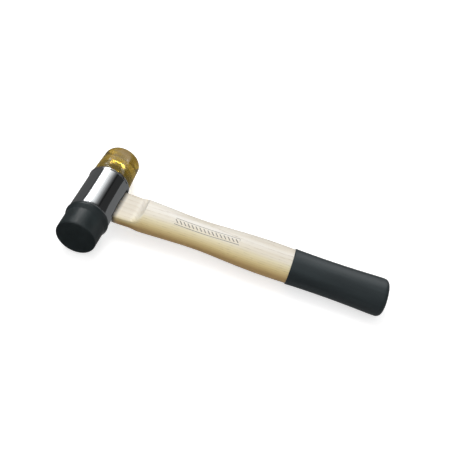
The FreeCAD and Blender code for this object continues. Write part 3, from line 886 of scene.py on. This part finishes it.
cards = {       # how bright each is, then its lowest and its highest corner
    "card_back_left": (0.12, (-roomSide, roomBack, roomFloor), (0, roomBack, roomTop)),
    "card_back_right": (0.04, (0, roomBack, 90), (roomSide, roomBack, roomTop)),
    "card_low_right": (0.2, (0, roomBack, roomFloor), (roomSide, roomBack, 90)),
    "card_floor_right": (0.2, (19, -60, roomFloor), (roomSide, roomBack, roomFloor)),
    "card_floor_left": (0.12, (-roomSide, -60, roomFloor), (-19, roomBack, roomFloor)),
    "card_floor_front": (0.03, (-roomSide, roomFront, roomFloor), (roomSide, -47, roomFloor)),
    "card_over_grip": (1.4, (166, 60, 25), (290, 60, 110)),
    # a dark sheet in the floor's place beside the neck, a painted reflection of the shade under
    # it, seen only in the chrome
    "card_shade_by_neck": (0.03, (19, 5, roomFloor + 1), (34, 42, roomFloor + 1)),
    "card_left": (0.1, (-roomSide, roomFront, roomFloor), (-roomSide, roomBack, roomTop)),
    "card_right": (0.1, (roomSide, roomFront, roomFloor), (roomSide, roomBack, roomTop)),
    "card_top": (0.3, (-roomSide, roomFront, roomTop), (roomSide, roomBack, roomTop)),
    "card_front": (0.03, (-roomSide, roomFront, roomFloor), (roomSide, roomFront, roomTop)),
}


def lamp(name, at, size, power):
    data = bpy.data.lights.new(name, "AREA")
    data.shape = "RECTANGLE"
    data.size, data.size_y = size
    data.energy = power
    light = bpy.data.objects.new(name, data)
    scene.collection.objects.link(light)
    light.location = crossing + Vector(at) * mm
    light.rotation_euler = (crossing - light.location).to_track_quat("-Z", "Y").to_euler()
    light.visible_glossy = False


def seenWhite(tree):
    # 1 for what looks straight at the background or sees it in metal or through plastic
    rays = addNode(tree, "ShaderNodeLightPath").outputs
    first = addNode(tree, "ShaderNodeMath", {"operation": "MAXIMUM"},
                    {0: rays["Is Camera Ray"], 1: rays["Is Glossy Ray"]})
    return addNode(tree, "ShaderNodeMath", {"operation": "MAXIMUM"},
                   {0: first, 1: rays["Is Transmission Ray"]})


def makeWorld():
    world = bpy.data.worlds.new("studio")
    scene.world = world
    world.use_nodes = True
    tree = world.node_tree
    tree.nodes.clear()
    strength = addNode(tree, "ShaderNodeMapRange", {"To Min": studio["worldFill"]},
                       {"Value": seenWhite(tree)})
    back = addNode(tree, "ShaderNodeBackground", {"Color": (1, 1, 1, 1)}, {"Strength": strength})
    addNode(tree, "ShaderNodeOutputWorld", None, {"Surface": back})


def card(name, corners, faces, material):
    mesh = bpy.data.meshes.new(name)
    mesh.from_pydata([Vector(c) for c in corners], [], faces)
    mesh.materials.append(material)
    made = bpy.data.objects.new(name, mesh)
    scene.collection.objects.link(made)
    return made


def placed(corner):
    return crossing + Vector(corner) * mm


def glowing(name, level):
    # an even light of this level
    material = bpy.data.materials.new(name)
    material.use_nodes = True
    tree = material.node_tree
    tree.nodes.clear()
    light = addNode(tree, "ShaderNodeEmission", {"Strength": level})
    addNode(tree, "ShaderNodeOutputMaterial", None, {"Surface": light})
    return material, tree, light


def onlyMirrored(made, inside=False):
    made.visible_camera = False
    made.visible_diffuse = False
    made.visible_shadow = False
    made.visible_transmission = inside
    made.visible_glossy = not inside


def makeSoftBox(name, box):
    material, tree, light = glowing(name + "_cloth", box["glow"])
    # the box before the head is dim, so it takes no light samples from the bright ones
    material.cycles.emission_sampling = "AUTO" if box["side"] > 0 else "NONE"
    shade = addNode(tree, "ShaderNodeAttribute", {"attribute_name": "glow"})
    join(tree, light, {"Color": shade})
    corners = []
    for angle, _ in box["fan"]:
        turn = math.radians(angle)
        corners += [placed((distance * math.sin(turn), box["side"] * softBoxPlane,
                            distance * math.cos(turn))) for distance in (box["from"], box["to"])]
    faces = [(2 * i, 2 * i + 1, 2 * i + 3, 2 * i + 2) for i in range(len(box["fan"]) - 1)]
    made = card(name, corners, faces, material)
    values = made.data.color_attributes.new("glow", "FLOAT_COLOR", "POINT")
    for index, value in enumerate(values.data):
        share = box["fan"][index // 2][1]
        value.color = (share, share, share, 1.0)
    onlyMirrored(made, box["inside"])


def cardCorners(lowest, highest):
    # all four in turn, of a rectangle that is flat along the one axis where its two agree
    first, second = [axis for axis in range(3) if lowest[axis] != highest[axis]]
    corners = []
    for low, high in ((lowest, lowest), (highest, lowest), (highest, highest), (lowest, highest)):
        corner = list(lowest)
        corner[first], corner[second] = low[first], high[second]
        corners.append(placed(corner))
    return corners


def makeCards():
    for name, (level, lowest, highest) in cards.items():
        material = glowing(name + "_paper", level)[0]
        onlyMirrored(card(name, cardCorners(lowest, highest), [(0, 1, 2, 3)], material))


def makeFloor():
    material = bpy.data.materials.new("floor_paper")
    material.use_nodes = True
    tree = material.node_tree
    tree.nodes.clear()
    paper = addNode(tree, "ShaderNodeBsdfDiffuse", {"Color": linear(studio["floorColour"])})
    # a lift that only the eye and shining things see, so that the floor reads as white
    lift = addNode(tree, "ShaderNodeMath", {"operation": "MULTIPLY", 1: studio["floorLift"]},
                   {0: seenWhite(tree)})
    glow = addNode(tree, "ShaderNodeEmission", None, {"Strength": lift})
    both = addNode(tree, "ShaderNodeAddShader", None, {0: paper, 1: glow})
    addNode(tree, "ShaderNodeOutputMaterial", None, {"Surface": both})
    half = studio["floorHalf"]
    corners = [(-half, -half, 0), (half, -half, 0), (half, half, 0), (-half, half, 0)]
    card("floor", corners, [(0, 1, 2, 3)], material)


lamp("soft_box", studio["keyAt"], studio["keySize"], studio["keyPower"])
lamp("overhead_fill", studio["fillAt"], studio["fillSize"], studio["fillPower"])
makeWorld()
makeFloor()
for boxName, softBox in softBoxes.items():
    makeSoftBox(boxName, softBox)
makeCards()
print("studio lit, with", len(softBoxes), "soft boxes and", len(cards), "cards")

scene.view_settings.view_transform = "Standard"
